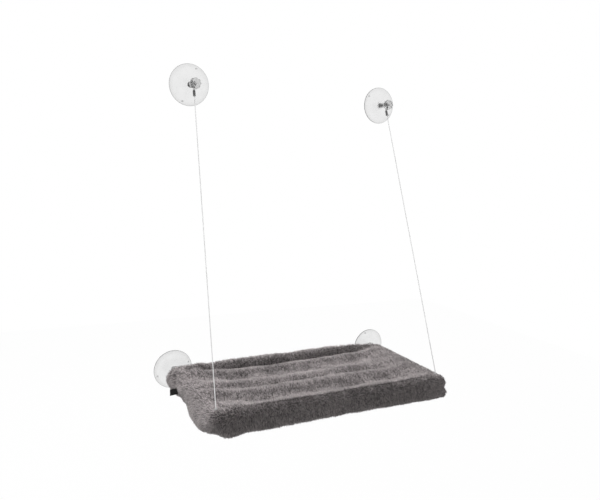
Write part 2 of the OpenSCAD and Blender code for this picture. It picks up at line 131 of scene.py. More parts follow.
class Shading:
    """A tree of shader nodes under construction."""

    def __init__(self, tree):
        self.tree = tree

    def node(self, kind, settings=None, inputs=None, output=0):
        made = self.tree.nodes.new(kind)
        for key, value in (settings or {}).items():
            if key == "stops":
                ramp = made.color_ramp
                while len(ramp.elements) < len(value):
                    ramp.elements.new(0.5)
                for element, (at, colour) in zip(ramp.elements, value):
                    element.position = at
                    element.color = (*colour, 1)
            else:
                setattr(made, key, value)
        for key, value in (inputs or {}).items():
            if isinstance(value, Signal):
                self.tree.links.new(value.socket, made.inputs[key])
            else:
                made.inputs[key].default_value = value
        return Signal(self, made.outputs[output])

    def join(self, value, socket):
        self.tree.links.new(value.socket, socket)

    def seen_directly(self):
        """1 for rays from the camera and for those that gloss or glass passes on."""
        to_camera, from_gloss, through_glass = (
            self.node("ShaderNodeLightPath", output=f"Is {kind} Ray")
            for kind in ("Camera", "Glossy", "Transmission"))
        return to_camera.or_more(from_gloss).or_more(through_glass)


class Finish(Shading):
    """A material under construction, with its Principled shader."""

    def __init__(self, name, **constants):
        self.material = bpy.data.materials.new(name)
        self.material.use_nodes = True
        super().__init__(self.material.node_tree)
        self.shader = self.tree.nodes["Principled BSDF"]
        for socket, value in constants.items():
            self.shader.inputs[socket.replace("_", " ")].default_value = value

    def place(self, scale=(1, 1, 1)):
        """Object coordinates, stretched."""
        where = self.node("ShaderNodeTexCoord", output="Object")
        return self.node("ShaderNodeMapping", inputs={"Vector": where, "Scale": scale})

    def noise(self, where, scale, detail=3, roughness=0.6):
        return self.node("ShaderNodeTexNoise", inputs={
            "Vector": where, "Scale": scale, "Detail": detail, "Roughness": roughness})

    def ramp(self, value, stops):
        return self.node("ShaderNodeValToRGB", {"stops": stops}, {"Fac": value})

    def mix(self, factor, a, b):
        return self.node("ShaderNodeMix", {"data_type": "RGBA"}, {0: factor, 6: a, 7: b}, output=2)

    def bump(self, height, distance, strength):
        return self.node("ShaderNodeBump", inputs={
            "Height": height, "Distance": distance, "Strength": strength})

    def drive(self, socket, value):
        self.join(value, self.shader.inputs[socket])

    def cloudy(self, clouds, level, dim):
        """Drives a plain colour that is dim times as light in patches."""
        stops = [(0.3, grey(level * dim)), (0.7, grey(level))]
        self.drive("Base Color", self.ramp(clouds, stops))


def grey(level, warm=0.0):
    """A linear grey, a little red of neutral where warm is above 0."""
    return (level * (1 + warm), level, level)


def plush_finish(name, levels, pile):
    """Brushed nap in patches and streaks. In the pile, each lock has its tone, with painted shade at
    its roots and painted light at its tips.
    """
    finish = Finish(name, Roughness=0.85, Sheen_Weight=0.3, Sheen_Roughness=0.4,
                    Sheen_Tint=(0.95, 0.88, 0.88, 1))
    patches = finish.noise(finish.place(scale=(0.5, 1, 1)), scale=24, detail=4)
    streaks = finish.noise(finish.place(scale=(1, 0.22, 0.3)), scale=190)
    specks = finish.noise(finish.place(), scale=600, detail=2, roughness=0.5)
    lie = patches * 0.5 + streaks * 0.35 + specks * 0.15
    if pile:
        # the tufts' tones: a random tone for each lock and tuft, with painted shade at the roots and
        # painted light at the tips
        lie = lie + finish.node("ShaderNodeAttribute", {"attribute_name": "tone"}, output="Fac")
    dark, middle, light = (grey(level, 0.1) for level in levels)
    finish.drive("Base Color", finish.ramp(lie, [(0.35, dark), (0.5, middle), (0.64, light)]))
    finish.drive("Normal", finish.bump(streaks * 0.5 + specks * 0.5, distance=0.0015, strength=0.4))
    return finish.material


def clear_finish(name, tint, roughness, haze, rim=None):
    """Clear plastic: faint flow marks, a slightly hazy skin and, where given, painted shade along
    the outer edge.
    """
    finish = Finish(name, Transmission_Weight=1.0, IOR=1.45)
    flow = finish.noise(finish.place(), scale=60, roughness=0.5)
    finish.drive("Roughness", flow * haze + roughness)
    light, dark = grey(tint), grey(tint * 0.96)
    colour = finish.ramp(flow, [(0.35, dark), (0.65, light)])
    if rim:
        # painted shade: a dark grey mixed in towards the cup's outer edge
        edge = finish.node("ShaderNodeAttribute", {"attribute_name": "rim"}, output="Fac")
        colour = finish.mix(edge, colour, (*grey(rim), 1))
    finish.drive("Base Color", colour)
    return finish.material


def metal_finish(name, level, roughness, coat=0.0):
    """Bare or plated metal with fine drawn or turned marks."""
    finish = Finish(name, Metallic=1.0, Coat_Weight=coat)
    marks = finish.noise(finish.place(), scale=900)
    finish.cloudy(finish.noise(finish.place(), scale=90, roughness=0.5), level, dim=0.85)
    finish.drive("Roughness", marks * 0.25 + roughness)
    finish.drive("Normal", finish.bump(marks, distance=0.0001, strength=0.3))
    return finish.material


def painted_finish(name, level, roughness, peel):
    """Paint or moulded plastic with a fine skin texture."""
    finish = Finish(name)
    skin = finish.noise(finish.place(), scale=900)
    finish.cloudy(finish.noise(finish.place(), scale=40, roughness=0.5), level, dim=0.88)
    finish.drive("Roughness", skin * 0.2 + roughness)
    finish.drive("Normal", finish.bump(skin, distance=peel, strength=0.5))
    return finish.material


def foam_finish():
    """Open cells with darker walls."""
    finish = Finish("foam", Roughness=0.95)
    cells = finish.node("ShaderNodeTexVoronoi", {"feature": "F1"},
                        {"Vector": finish.place(), "Scale": 700})
    walls, cream = (0.42, 0.38, 0.28), (0.8, 0.76, 0.64)
    finish.drive("Base Color", finish.ramp(cells, [(0.1, walls), (0.6, cream)]))
    finish.drive("Normal", finish.bump(1 - cells, distance=0.001, strength=0.8))
    return finish.material


# metres from band to band of a wave texture at scale 1
WAVE = 0.314


def woven_finish(name, level, pitch):
    """Plain weave: warp and weft waves crossed."""
    finish = Finish(name, Roughness=0.85, Sheen_Weight=0.15)
    where = finish.place()
    waves = {"Vector": where, "Scale": WAVE / pitch, "Distortion": 0.4, "Detail Scale": 2}
    warp, weft = (finish.node("ShaderNodeTexWave", {"bands_direction": direction}, waves, output=1)
                  for direction in ("X", "Y"))
    weave = warp * weft
    lint = finish.noise(where, scale=500)
    tone = weave * 0.6 + lint * 0.4
    finish.drive("Base Color", finish.ramp(tone, [(0.1, grey(level * 0.6)), (0.7, grey(level))]))
    finish.drive("Normal", finish.bump(weave, distance=0.0004, strength=0.8))
    return finish.material


MATERIALS = {
    # the cups' clear PVC has painted shade along their outer edges
    "clear_pvc": clear_finish("clear_pvc", tint=0.84, roughness=0.08, haze=0.05, rim=0.3),
    "clear_plastic": clear_finish("clear_plastic", tint=0.7, roughness=0.03, haze=0.06),
    "stud_steel": metal_finish("stud_steel", level=0.55, roughness=0.25),
    "washer_steel": metal_finish("washer_steel", level=0.62, roughness=0.25),
    "cable_steel": metal_finish("cable_steel", level=0.85, roughness=0.35, coat=0.5),
    "ferrule_dark": metal_finish("ferrule_dark", level=0.16, roughness=0.35),
    "sleeve_aluminium": metal_finish("sleeve_aluminium", level=0.5, roughness=0.35),
    "nut_nickel": metal_finish("nut_nickel", level=0.6, roughness=0.2),
    "rail_steel": painted_finish("rail_steel", level=0.5, roughness=0.3, peel=0.0001),
    "corner_plastic": painted_finish("corner_plastic", level=0.03, roughness=0.5, peel=0.0003),
    "screw_steel": metal_finish("screw_steel", level=0.3, roughness=0.35),
    "foam": foam_finish(),
    "plush": plush_finish("plush", levels=(0.05, 0.12, 0.22), pile=False),
    "pile": plush_finish("pile", levels=(0.08, 0.24, 0.5), pile=True),
    "base_cloth": woven_finish("base_cloth", level=0.09, pitch=0.0012),
    "closure_tape": woven_finish("closure_tape", level=0.02, pitch=0.001),
    "eyelet_nickel": metal_finish("eyelet_nickel", level=0.6, roughness=0.25),
    "tag_cloth": woven_finish("tag_cloth", level=0.012, pitch=0.0007),
}


def dress_cad_nodes():
    """Gives every CAD node the finish of its slot."""
    for row in frame["record"]["subparts"]:
        data = frame["nodes"][row["node"]].data
        data.materials.clear()
        data.materials.append(MATERIALS[row["material_slot"]])


# making pieces


def object_from(bm, name, material):
    """Closes a bmesh into an object of the scene."""
    mesh = bpy.data.meshes.new(name)
    bm.to_mesh(mesh)
    bm.free()
    mesh.materials.append(material)
    made = bpy.data.objects.new(name, mesh)
    bpy.context.scene.collection.objects.link(made)
    return made


def piece_from(bm, name, slot, body, node):
    """Closes a bmesh into a piece in a CAD node's place. It rides on a body where one is given."""
    piece = object_from(bm, name, MATERIALS[slot])
    piece.data.shade_smooth()
    if body:
        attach(piece, body)
    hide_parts(node)
    return piece


def turned(bm, outline, steps, foot=0.0):
    """Spins an outline of (radius, height) points, in millimetres, about the Z axis above foot."""
    verts = [bm.verts.new((radius * MM, 0, foot + height * MM)) for radius, height in outline]
    edges = [bm.edges.new(pair) for pair in zip(verts, verts[1:])]
    bmesh.ops.spin(bm, geom=verts + edges, cent=(0, 0, 0), axis=(0, 0, 1), dvec=(0, 0, 0),
                   angle=2 * math.pi, steps=steps, use_merge=True, use_duplicate=False)
    bmesh.ops.remove_doubles(bm, verts=bm.verts, dist=1e-6)
    bmesh.ops.recalc_face_normals(bm, faces=bm.faces)


def off_glass(bm, x, z):
    """Moves a shape that stands on +Z so that it stands out from the glass at x, z."""
    bm.transform(Matrix.Translation((x, 0, z)) @ Matrix.Rotation(math.pi / 2, 4, "X"))


def tube(bm, path, radius, sides, groove, lobes, lay):
    """A tube along a path. Its lobes are groove deep and turn once in each length lay."""
    ring = bmesh.ops.create_circle(bm, segments=sides, radius=radius)["verts"]
    first = list(ring)
    edges = [edge for edge in bm.edges if edge.verts[0] in ring]
    gone = 0.0
    side = Vector((0, 1, 0))
    for index, point in enumerate(path):
        before, after = path[max(index - 1, 0)], path[min(index + 1, len(path) - 1)]
        ahead = (after - before).normalized()
        across = ahead.cross(side).normalized()
        over = ahead.cross(across)
        if index:
            gone += (point - path[index - 1]).length
            grown = bmesh.ops.extrude_edge_only(bm, edges=edges)["geom"]
            fresh = [part for part in grown if isinstance(part, bmesh.types.BMVert)]
            edges = [part for part in grown if isinstance(part, bmesh.types.BMEdge)
                     and part.verts[0] in fresh and part.verts[1] in fresh]
            ring = [next(edge.other_vert(old) for edge in old.link_edges
                         if edge.other_vert(old) in fresh) for old in ring]
        turn = 2 * math.pi * gone / lay
        for k, vert in enumerate(ring):
            angle = 2 * math.pi * k / sides
            reach = radius - groove * (0.5 - 0.5 * math.cos(lobes * angle))
            angle += turn
            vert.co = point + reach * (math.cos(angle) * across + math.sin(angle) * over)
    for end in (first, ring):
        bmesh.ops.contextual_create(bm, geom=end)
    bmesh.ops.recalc_face_normals(bm, faces=bm.faces)


def ease(value, start, end):
    """0 at start, 1 at end and smooth between. start may be the larger."""
    t = min(1.0, max(0.0, (value - start) / (end - start)))
    return t * t * (3 - 2 * t)


def middle_of(node):
    low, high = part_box(node)
    return (low + high) / 2


# the middles of the bed's rails

RAIL_X = 0.256
RAIL_REAR = -0.040
RAIL_FRONT = -0.266
RAIL_Z = -0.003


# cables, which lie where the CAD's cables lie

LOOP_OUT = 0.032
LOOP_R = 0.0037
LOOP_START = 215
LOOP_STEP = 10
LOOP_STEPS = 26
BEND_DOWN = 0.012
# how far each strand lies from the middle of the ferrule
STRAND = 0.000975
FERRULE_GAP = 0.002
FERRULE_LEN = 0.011
CABLE_R = 0.0009
CABLE_STEP = 0.0016
CABLE_GROOVE = 0.00022
CABLE_LAY = 0.02
# from the rail's middle to the stop sleeve, along the cable
STOP_BELOW = 0.0113
STOP_LEN = 0.009
CABLE_TAIL = 0.0015


def cable_line(name, side):
    """Where a cable leaves its loop, the direction of its run and the corner that it holds."""
    loop = middle_of(f"knob_{name}")
    bend = Vector((loop.x, -LOOP_OUT, loop.z - BEND_DOWN))
    corner = Vector((side * RAIL_X, RAIL_FRONT, RAIL_Z))
    return bend, (corner - bend).normalized(), corner


def cable(name, side):
    """Stranded wire with its loop and its straight run."""
    bend, down, corner = cable_line(name, side)
    top = Vector((bend.x, -LOOP_OUT, bend.z + BEND_DOWN))
    low = bend + (FERRULE_GAP + FERRULE_LEN) * down
    off = Vector((STRAND, 0, 0))
    tip = corner + (STOP_BELOW + STOP_LEN + CABLE_TAIL) * down
    path = [low - off, bend - off]
    for step in range(LOOP_STEPS):
        angle = math.radians(LOOP_START - LOOP_STEP * step)
        path.append(top + LOOP_R * Vector((math.cos(angle), 0, math.sin(angle))))
    path += [bend + off, low + off, low + FERRULE_LEN * down]
    run = tip - path[-1]
    steps = int(run.length / CABLE_STEP)
    path += [path[-1] + run * (step / steps) for step in range(1, steps + 1)]
    bm = bmesh.new()
    tube(bm, path, CABLE_R, sides=12, groove=CABLE_GROOVE, lobes=6, lay=CABLE_LAY)
    wire = piece_from(bm, f"wire_{name}", "cable_steel", None, f"cable_{name}")
    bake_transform(wire)


# radii and heights in millimetres
FERRULE_FOOT = [(2.15, 0), (2.7, 0), (2.8, 0.4)]
FERRULE_BANDS = (1.7, 4.7, 7.7)
FERRULE_BAND = [(2.8, -0.4), (2.4, 0), (2.4, 1.4), (2.8, 1.8)]
FERRULE_TOP = [(2.8, 10.6), (2.7, 11), (2.15, 11), (2.15, 0)]


def ferrule(name, side):
    """Dark sleeve, pressed in three bands round both strands."""
    bend, down, corner = cable_line(name, side)
    bands = [(radius, foot + height) for foot in FERRULE_BANDS for radius, height in FERRULE_BAND]
    bm = bmesh.new()
    turned(bm, FERRULE_FOOT + bands + FERRULE_TOP, 32)
    turn = Vector((0, 0, 1)).rotation_difference(down).to_matrix().to_4x4()
    bm.transform(Matrix.Translation(bend + FERRULE_GAP * down) @ turn)
    piece_from(bm, f"ferrule_{name}_pressed", "ferrule_dark", "window_mount", f"ferrule_{name}")


camera()
for name, side in SIDES.items():
    cable(name, side)
    ferrule(name, side)
dress_cad_nodes()


# stage and light

FLOOR_Z = -0.75
FLOOR_REACH = 3.0
FLOOR_GREY = 0.62
FLOOR_WHITE = 0.985


def floor():
    """Pale floor well under the bed. It shows white and keeps a faint shadow."""
    finish = Finish("floor", Base_Color=(*grey(FLOOR_GREY), 1), Roughness=0.9)
    share = finish.seen_directly() * FLOOR_WHITE
    glow = finish.node("ShaderNodeEmission")
    matt = Signal(finish, finish.shader.outputs[0])
    surface = finish.node("ShaderNodeMixShader", inputs={0: share, 1: matt, 2: glow})
    finish.join(surface, finish.tree.nodes["Material Output"].inputs["Surface"])
    bm = bmesh.new()
    corners = [bm.verts.new((x * FLOOR_REACH, y * FLOOR_REACH, FLOOR_Z))
               for x, y in ((-1, -1), (1, -1), (1, 1), (-1, 1))]
    bm.faces.new(corners)
    object_from(bm, "floor", finish.material)


def world(strength):
    """Even studio light that shows as white."""
    sky = bpy.data.worlds.new("studio")
    sky.use_nodes = True
    shading = Shading(sky.node_tree)
    shine = sky.node_tree.nodes["Background"]
    shine.inputs["Color"].default_value = (1, 1, 1, 1)
    level = shading.node("ShaderNodeMapRange", inputs={
        "Value": shading.seen_directly(), "To Min": strength})
    shading.join(level, shine.inputs["Strength"])
    bpy.context.scene.world = sky


def lamp(name, at, towards, size, power):
    """Soft lamp that gloss and glass don't mirror."""
    data = bpy.data.lights.new(name, "AREA")
    data.shape = "DISK"
    data.size = size
    data.energy = power
    light = bpy.data.objects.new(name, data)
    light.visible_glossy = light.visible_transmission = False
    aim = (Vector(towards) - Vector(at)).to_track_quat("-Z", "Y")
    light.matrix_world = Matrix.Translation(at) @ aim.to_matrix().to_4x4()
    bpy.context.scene.collection.objects.link(light)


floor()
world(strength=0.43)
lamp("key", at=(-0.7, 1.6, 1.2), towards=(0, -0.15, 0), size=1.2, power=42)
lamp("fill", at=(-1.9, 0.1, 1.1), towards=(0, -0.15, 0.1), size=1.4, power=16)


# suction cups, studs and knobs

# radii and heights over the glass, or over the piece's own foot, in millimetres
CUP_SECTION = [
    (0, 3.4), (14, 3.1), (25, 1.7), (31.5, 0.35), (33, 0), (41.2, 0), (41.7, 0.25), (42, 0.7),
    (41.9, 1.15), (41.4, 1.55), (40.6, 1.6), (39.8, 1.45), (38.5, 1.7), (33, 2.55), (25, 3.95),
    (17, 5.6), (14, 6.4), (11.7, 7.4), (10.2, 8.6), (9.7, 9.6), (9.5, 10.4), (9, 11), (4.2, 11),
    (3.8, 10.6), (2.6, 10.6), (2.6, 7.5), (6.1, 7.5), (6.1, 5.5), (0, 5.5)]
KNOB_SECTION = [
    (2.6, 0), (9.6, 0), (10.9, 0.5), (11.5, 1.9), (11.5, 8.4), (11.1, 10), (10, 11), (8.6, 11.5),
    (7.2, 11.5), (6.3, 11.1), (5.6, 10.2), (4.4, 9.9), (2.6, 9.9), (2.6, 0)]
SPACER_SECTION = [
    (2.6, 11), (6.2, 11), (6.4, 11.2), (6.4, 11.8), (6.1, 12), (5.6, 12.5), (5.4, 20), (5.6, 29.4),
    (5.3, 30.1), (2.6, 30.1), (2.6, 11)]
STUD_HEAD = [(0, 0), (5.6, 0), (6, 0.4), (6, 1.4), (5.6, 1.8), (0, 1.8)]
STUD_HEAD_H = 0.0018
# where the painted shade along the cup's outer edge starts, and where it is full
RIM_INNER_R = 0.0408
RIM_R = 0.042
NIB_AT = Vector((0.0359, 0, 0.0029))
NIB_R = 0.0018
NIB_TIP_R = 0.0014
NIB_H = 0.0022
KNOB_R = 0.0115
KNOB_LOBES = 8
LOBES_FROM_R = 0.0068
LOBE_DEPTH = 0.0013
THREAD_R = 0.00249
THREAD_DEPTH = 0.00042
THREAD_PITCH = 0.0008
THREAD_STEPS = 8


def suction_cup(level, name, x, z, turn):
    """Pressed clear cup: sealing ring, thin outer edge, dome, skirt round the boss and two pull
    nibs. Its outer edge is weighted for painted shade.
    """
    bm = bmesh.new()
    turned(bm, CUP_SECTION, 96)
    # weights for the painted shade that darkens the cup towards its outer edge
    rim = bm.verts.layers.float.new("rim")
    for vert in bm.verts:
        vert[rim] = ease(math.hypot(vert.co.x, vert.co.y), RIM_INNER_R, RIM_R)
    for half in (0, math.pi):
        nib = bmesh.ops.create_cone(bm, cap_ends=True, segments=20, radius1=NIB_R,
                                    radius2=NIB_TIP_R, depth=NIB_H)["verts"]
        bmesh.ops.translate(bm, verts=nib, vec=Matrix.Rotation(turn + half, 4, "Z") @ NIB_AT)
    off_glass(bm, x, z)
    node = f"cup_{level}_{name}"
    piece_from(bm, f"{node}_vinyl", "clear_pvc", "window_mount", node)


def knob(name, x, z):
    """Clear screw knob with soft lobes and a dimple."""
    bm = bmesh.new()
    turned(bm, KNOB_SECTION, 128)
    for vert in bm.verts:
        reach = math.hypot(vert.co.x, vert.co.y)
        angle = math.atan2(vert.co.y, vert.co.x)
        if reach > LOBES_FROM_R:
            valley = (0.5 - 0.5 * math.cos(KNOB_LOBES * angle)) ** 1.5
            dent = valley * LOBE_DEPTH * (reach - LOBES_FROM_R) / (KNOB_R - LOBES_FROM_R)
            vert.co.x *= (reach - dent) / reach
            vert.co.y *= (reach - dent) / reach
    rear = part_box(f"knob_{name}")[1].y
    bm.transform(Matrix.Translation((0, 0, -rear)))
    off_glass(bm, x, z)
    piece_from(bm, f"knob_{name}_clear", "clear_plastic", f"knob_{name}", f"knob_{name}")


def stud(level, name, x, z):
    """Threaded stud with its flat head inside the cup."""
    low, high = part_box(f"stud_{level}_{name}")
    back, tip = -high.y, -low.y
    length = tip - back - STUD_HEAD_H
    steps = int(length / THREAD_PITCH * THREAD_STEPS)
    path = [Vector((0, 0, back + STUD_HEAD_H + length * step / steps)) for step in range(steps + 1)]
    bm = bmesh.new()
    turned(bm, STUD_HEAD, 32, foot=back)
    tube(bm, path, THREAD_R, sides=16, groove=THREAD_DEPTH, lobes=1, lay=THREAD_PITCH)
    off_glass(bm, x, z)
    node = f"stud_{level}_{name}"
    piece_from(bm, f"{node}_thread", "stud_steel", "window_mount", node)


def spacer(name, x, z):
    """Clear spacer with a flange on the cup and a waist."""
    bm = bmesh.new()
    turned(bm, SPACER_SECTION, 48)
    off_glass(bm, x, z)
    piece_from(bm, f"spacer_{name}_clear", "clear_plastic", "window_mount", f"spacer_{name}")


# how far the nibs of each cup are turned from level, in degrees
CUP_TURNS = {"upper_left": 68, "upper_right": 147, "lower_left": 20, "lower_right": 110}
for name, side in SIDES.items():
    for level in ("upper", "lower"):
        at = middle_of(f"cup_{level}_{name}")
        suction_cup(level, name, at.x, at.z, math.radians(CUP_TURNS[f"{level}_{name}"]))
        stud(level, name, at.x, at.z)
        if level == "upper":
            knob(name, at.x, at.z)
            spacer(name, at.x, at.z)


# the plush bed

COVER_LOW, COVER_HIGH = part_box("cover_top")
UNDER_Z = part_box("cover_bottom")[0].z
HALF_W = COVER_HIGH.x
REAR_Y = COVER_HIGH.y
DEPTH = COVER_HIGH.y - COVER_LOW.y
RIDGE_Z = COVER_HIGH.z
# how far the slab stays inside the CAD's cover, before its ends are pushed out
SHY = 0.002
# how far the rounds of the slab's edges reach along x, y and z
TOP_ROUND = Vector((0.045, 0.015, 0.018))
LOW_ROUND = Vector((0.009, 0.009, 0.011))
LEFT_ROUND_X = 0.036
END_ROUND_Z = 0.022
# how far the corners' rounds reach along x and y, and those of the front corners near the bottom
LEFT_REAR_CORNER = (0.02, 0.02)
RIGHT_REAR_CORNER = (0.022, 0.022)
LEFT_FRONT_CORNER = (0.03, 0.036)
RIGHT_FRONT_CORNER = (0.024, 0.028)
LEFT_CORNER_LOW = (0.04, 0.085)
RIGHT_CORNER_LOW = (0.024, 0.024)
# how far the slab sags under its rim, in all and more at either end
SAG = 0.001
LEFT_SAG = 0.0025
RIGHT_SAG = 0.001
# how far the slab's ends bulge out, or are drawn in and up near the bottom
LEFT_OUT = 0.004
LEFT_LOW_OUT = 0.006
LEFT_REAR_OUT = 0.005
LEFT_REAR_LOW_IN = 0.007
LEFT_REAR_LOW_UP = 0.004
RIGHT_FRONT_LOW_IN = 0.008
# how high the rear ridge and its left corner stand, and how far the front ones are worn down
REAR_RIDGE_UP = 0.002
RIGHT_REAR_RIDGE_UP = 0.003
REAR_CORNER_UP = 0.006
FRONT_CORNER_WORN = 0.003
FRONT_RIDGE_WORN = 0.0035
# the two left corners, along the bed and in front of its rear edge
LEFT_CORNERS_X = -0.262
REAR_CORNER_BACK = 0.02
FRONT_CORNER_BACK = 0.247
# the folds in the bed's middle: their waver as (size, waves, start), how far the first one veers at
# the right, how much higher than in the section they stand, and the level that they stand up from
FOLD_WAVER = ((0.003, 5, 0.3), (0.0015, 13, 2.3))
FOLD_VEER = 0.012
FOLD_RISE = 1.4
FOLD_LEVEL = 0.013
# how far the bed's ends lie under the ridges, and where the slope from there to the middle starts
# and ends, from the cover's end
END_DROP = 0.0025
SLOPE_START = 0.012
LEFT_SLOPE_END = 0.13
RIGHT_SLOPE_END = 0.11

# how far the sunken bed's middle lies under the ridges, in millimetres from the rear edge and down
KNOTS = [
    (0, 0), (20, 0), (25, 1), (29, 3), (33, 7), (36, 12), (39, 17), (43, 18), (48, 15.5), (54, 11),
    (61, 8), (70, 9), (80, 12.5), (90, 15), (98, 15.5), (108, 13.5), (118, 11), (128, 10),
    (134, 10.5), (140, 12.5), (146, 14), (151, 14), (158, 12), (167, 10.5), (174, 11), (184, 14.5),
    (194, 17), (204, 18.3), (216, 17), (226, 12.5), (235, 5.5), (242, 1.5), (249, 0), (256, 0.3),
    (265, 1)]
SECTION_STEPS = 531
SMOOTHED_OVER = 17


def smooth_section(knots):
    """The knots as a finely stepped curve in metres."""
    where, depth = np.array(knots).T * MM
    fine = np.linspace(where[0], where[-1], SECTION_STEPS)
    steps = np.pad(np.interp(fine, where, depth), SMOOTHED_OVER // 2, mode="edge")
    window = np.hanning(SMOOTHED_OVER)
    return np.column_stack([fine, np.convolve(steps, window / window.sum(), "valid")])


SECTION = smooth_section(KNOTS)


def bell(value, centre, width):
    """1 at the centre, falling smoothly to about a third at width from it."""
    return math.exp(-((value - centre) / width) ** 2)


# in what follows, the numbers in ease and bell are places on the bed in metres


def top_drop(x, back):
    """How far the top lies under the ridges at x and back metres in front of the rear edge."""
    shift = sum(size * noise.noise(Vector((x * waves, start, 0.1)))
                for size, waves, start in FOLD_WAVER)
    shift += FOLD_VEER * ease(x, 0.05, 0.2) * ease(back, 0.13, 0.08)
    where = back + shift * (1 - ease(back, 0.19, 0.22))
    drop = float(np.interp(where, SECTION[:, 0], SECTION[:, 1]))
    fold = FOLD_RISE * (drop - FOLD_LEVEL) * ease(back, 0.04, 0.05) * (1 - ease(back, 0.2, 0.215))
    end_drop = END_DROP * ease(back, 0.03, 0.07) * (1 - ease(back, 0.2, 0.235))
    to_end = HALF_W - abs(x)
    slope_end = LEFT_SLOPE_END if x < 0 else RIGHT_SLOPE_END
    tray = end_drop + (drop - fold / FOLD_RISE - end_drop) * ease(to_end, SLOPE_START, slope_end)
    fold *= ease(to_end, 0, 0.05) if x < 0 else ease(to_end, 0.02, 0.11)
    raised = (REAR_RIDGE_UP + RIGHT_REAR_RIDGE_UP * ease(x, 0, 0.1)) * bell(back, 0.012, 0.02)
    across = x - LEFT_CORNERS_X
    raised += REAR_CORNER_UP * bell(math.hypot(across, back - REAR_CORNER_BACK), 0, 0.04)
    worn = FRONT_CORNER_WORN * bell(math.hypot(across, back - FRONT_CORNER_BACK), 0, 0.03)
    worn += FRONT_RIDGE_WORN * ease(back, 0.222, 0.242) * ease(to_end, 0.03, 0.08)
    return tray + fold - raised + worn


def rounded(at, half, edge):
    """Moves a point of a sharp slab's skin in to where the skin lies once its edges are round."""
    inner = [max(reach - size, min(size - reach, value))
             for value, size, reach in zip(at, half, edge)]
    away = [(value - near) / reach for value, near, reach in zip(at, inner, edge)]
    pull = 1 / math.hypot(max(abs(away[0]), abs(away[1])), away[2])
    return Vector(near + step * pull * reach for near, step, reach in zip(inner, away, edge))


def turn_corner(place, half, across, along):
    """Bends a square corner of the slab's plan into a quarter of an ellipse."""
    x, y = 1 + (abs(place.x) - half.x) / across, 1 + (abs(place.y) - half.y) / along
    if x > 0 and y > 0:
        pull = max(x, y) / math.hypot(x, y)
        place.x = math.copysign(half.x - across * (1 - x * pull), place.x)
        place.y = math.copysign(half.y - along * (1 - y * pull), place.y)


def edge_round(at, half, above):
    """How far the edge nearest to a point of the slab's skin is rounded along x, y and z."""
    if not above:
        return LOW_ROUND
    edge = TOP_ROUND.copy()
    if at.x < 0:
        edge.x = LEFT_ROUND_X
    edge.z += (END_ROUND_Z - TOP_ROUND.z) * ease(half.x - abs(at.x), 0.06, 0.02)
    return edge


def push_ends(place, half, low):
    """Bulges the slab's ends or draws them in. low is 1 near the bottom."""
    if place.x < 0:
        place.x -= LEFT_OUT * ease(-place.x, 0.2, 0.26)
        place.x -= LEFT_LOW_OUT * ease(place.z, 0.016, -0.022) * bell(place.y, -0.055, 0.05)
        place.x -= LEFT_REAR_OUT * bell(place.y, 0.11, 0.04)
        place.x += LEFT_REAR_LOW_IN * low * ease(-place.x, 0.12, 0.24) * ease(place.y, -0.04, 0.04)
        place.z += LEFT_REAR_LOW_UP * low * ease(-place.x, 0.12, 0.24) * ease(place.y, 0, 0.1)
    else:
        place.x += RIGHT_FRONT_LOW_IN * low * bell(place.y, -half.y, 0.08)


def plan_corner(place):
    """How far the corner nearest to a point reaches along x and y."""
    if place.y >= 0:
        return LEFT_REAR_CORNER if place.x < 0 else RIGHT_REAR_CORNER
    if place.x < 0:
        high, low = LEFT_FRONT_CORNER, LEFT_CORNER_LOW
    else:
        high, low = RIGHT_FRONT_CORNER, RIGHT_CORNER_LOW
    under = ease(place.z, -0.008, -0.022)
    return [top + (bottom - top) * under for top, bottom in zip(high, low)]


def stuffed(share):
    """Where a point of a cube's skin, from -1 to 1 each way, lies on the stuffed cover."""
    half = Vector((HALF_W - SHY, (DEPTH - SHY) / 2, (RIDGE_Z - UNDER_Z - SHY) / 2))
    centre = Vector((0, REAR_Y - (DEPTH + SHY) / 2, (RIDGE_Z + UNDER_Z) / 2))
    at = Vector(math.sin(part * math.pi / 2) * size for part, size in zip(share, half))
    place = rounded(at, half, edge_round(at, half, share.z > 0))
    to_rim = min(half.x - abs(place.x), half.y - abs(place.y))
    low = ease(place.z, 0.002, -0.014)
    sag = SAG + LEFT_SAG * bell(place.x, -0.24, 0.025) + RIGHT_SAG * ease(place.x, 0, 0.1)
    place.z -= sag * low * bell(to_rim, 0.01, 0.012)
    push_ends(place, half, low)
    turn_corner(place, half, *plan_corner(place))
    place += centre
    place.z -= ease(place.z, centre.z, RIDGE_Z - 2 * SHY) * top_drop(place.x, REAR_Y - place.y)
    return place


def cover_mesh(cuts):
    """The stuffed cover before its cloth is simulated: a rounded slab with the bed pressed in."""
    bm = bmesh.new()
    bmesh.ops.create_cube(bm, size=2)
    bmesh.ops.subdivide_edges(bm, edges=bm.edges, cuts=cuts, use_grid_fill=True)
    for vert in bm.verts:
        vert.co = stuffed(vert.co)
    return bm


def positions(mesh, what="co"):
    """The places of a mesh's points, or their normals, as rows."""
    rows = np.empty(len(mesh.vertices) * 3)
    mesh.vertices.foreach_get(what, rows)
    return rows.reshape(-1, 3)


def set_positions(mesh, places):
    mesh.vertices.foreach_set("co", places.ravel())
    mesh.update()


def settle(piece):
    """Replaces a piece's mesh with what its modifiers make of it, and removes them."""
    view = bpy.context.evaluated_depsgraph_get()
    shape = bpy.data.meshes.new_from_object(piece.evaluated_get(view))
    piece.modifiers.clear()
    piece.data = shape


def remesh(piece, voxel):
    """Covers a piece with even faces as long as a voxel."""
    grid = piece.modifiers.new("grid", "REMESH")
    grid.mode = "VOXEL"
    grid.voxel_size = voxel
    grid.use_smooth_shade = True
    settle(piece)


SIM_FRAMES = 20
CLOTH = {"quality": 4, "mass": 0.3, "tension_stiffness": 12, "compression_stiffness": 3,
         "bending_stiffness": 0.4, "use_pressure": True, "uniform_pressure_force": 4}


